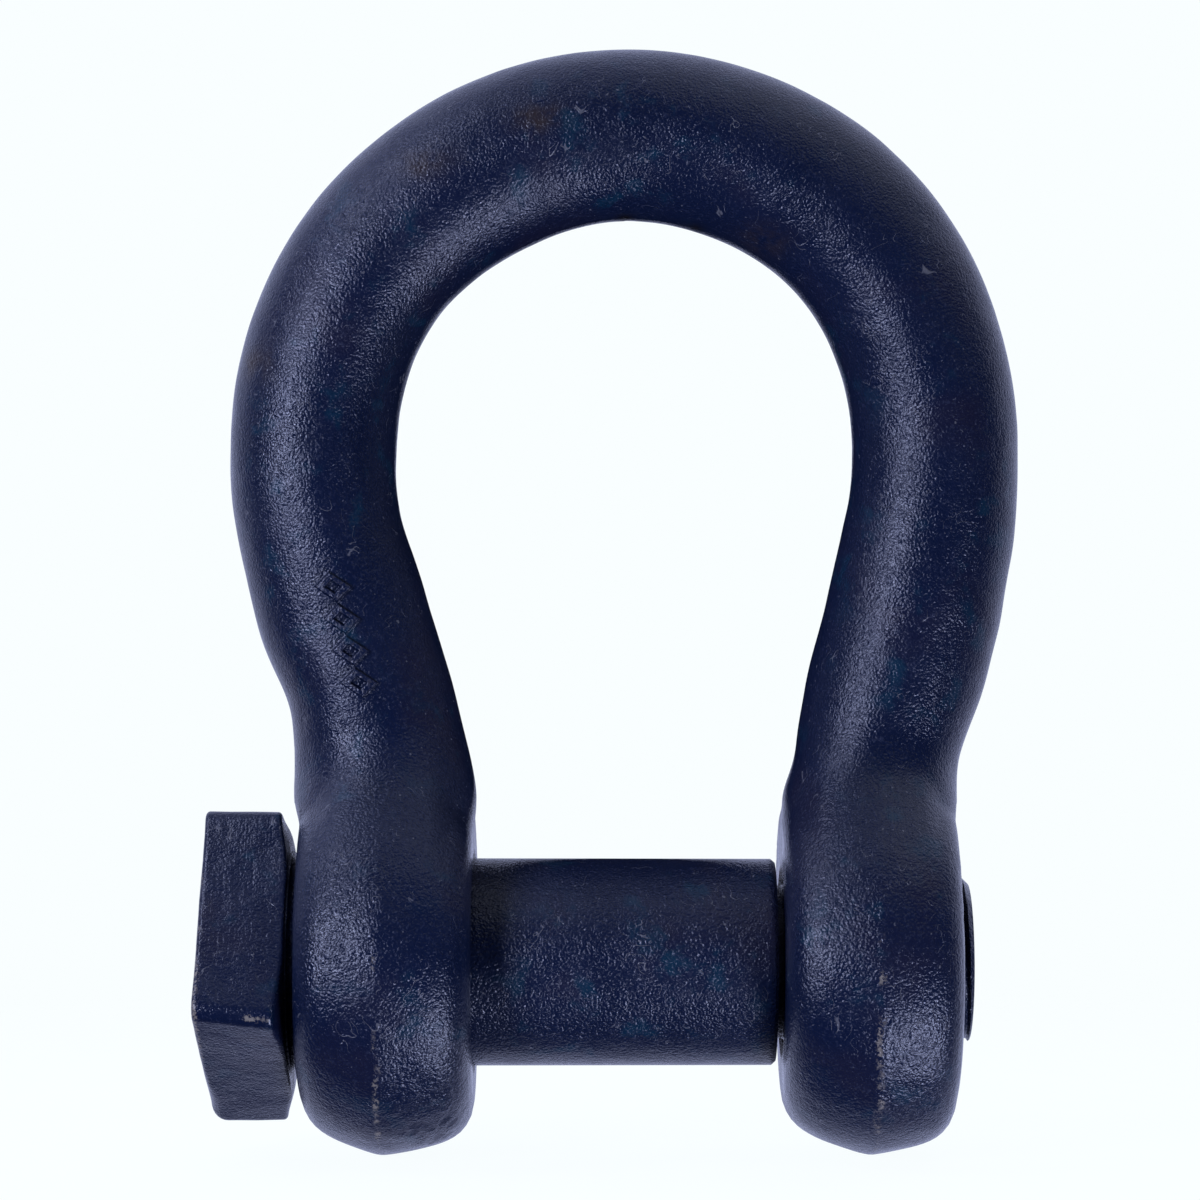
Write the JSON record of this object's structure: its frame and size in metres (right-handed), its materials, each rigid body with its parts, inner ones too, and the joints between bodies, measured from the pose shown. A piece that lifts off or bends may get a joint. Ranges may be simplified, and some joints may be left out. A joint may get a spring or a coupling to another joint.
{
  "type": "bow shackle",
  "caption": "Forged bow shackle, dark navy painted, closed by a square-head screw pin through its round eyes; joins ropes, chains and blocks.",
  "frame": {"origin": "on the screw pin's axis, midway between the two eyes", "axes": "+X along the pin, towards its threaded end; +Y to the back, square to the plane of the bow; +Z along the load line, up to the crown"},
  "size_m": [0.1382, 0.0656, 0.1874],
  "materials": {
    "bow_paint": "satin dark navy paint over forged steel",
    "pin_paint": "satin dark navy paint over forged steel",
    "pin_core_steel": "turned steel, dull"
  },
  "bodies": {
    "bow": {"bow": "bow_paint"},
    "pin_slider": {"pin_core": "pin_core_steel"},
    "pin": {"pin": "pin_paint"}
  },
  "joints": [
    {"name": "pin_travel", "type": "slide", "parent": "bow", "child": "pin_slider", "axis": [-1, 0, 0], "range_m": [0, 0.1505]},
    {"name": "pin_turn", "type": "hinge", "parent": "pin_slider", "child": "pin", "pos_m": [0, 0, 0], "axis": [-1, 0, 0], "range_deg": [0, 15480]}
  ],
  "couplings": [
    {"joint": "pin_travel", "follows": "pin_turn", "m_per_rad": 0.00055704}
  ]
}
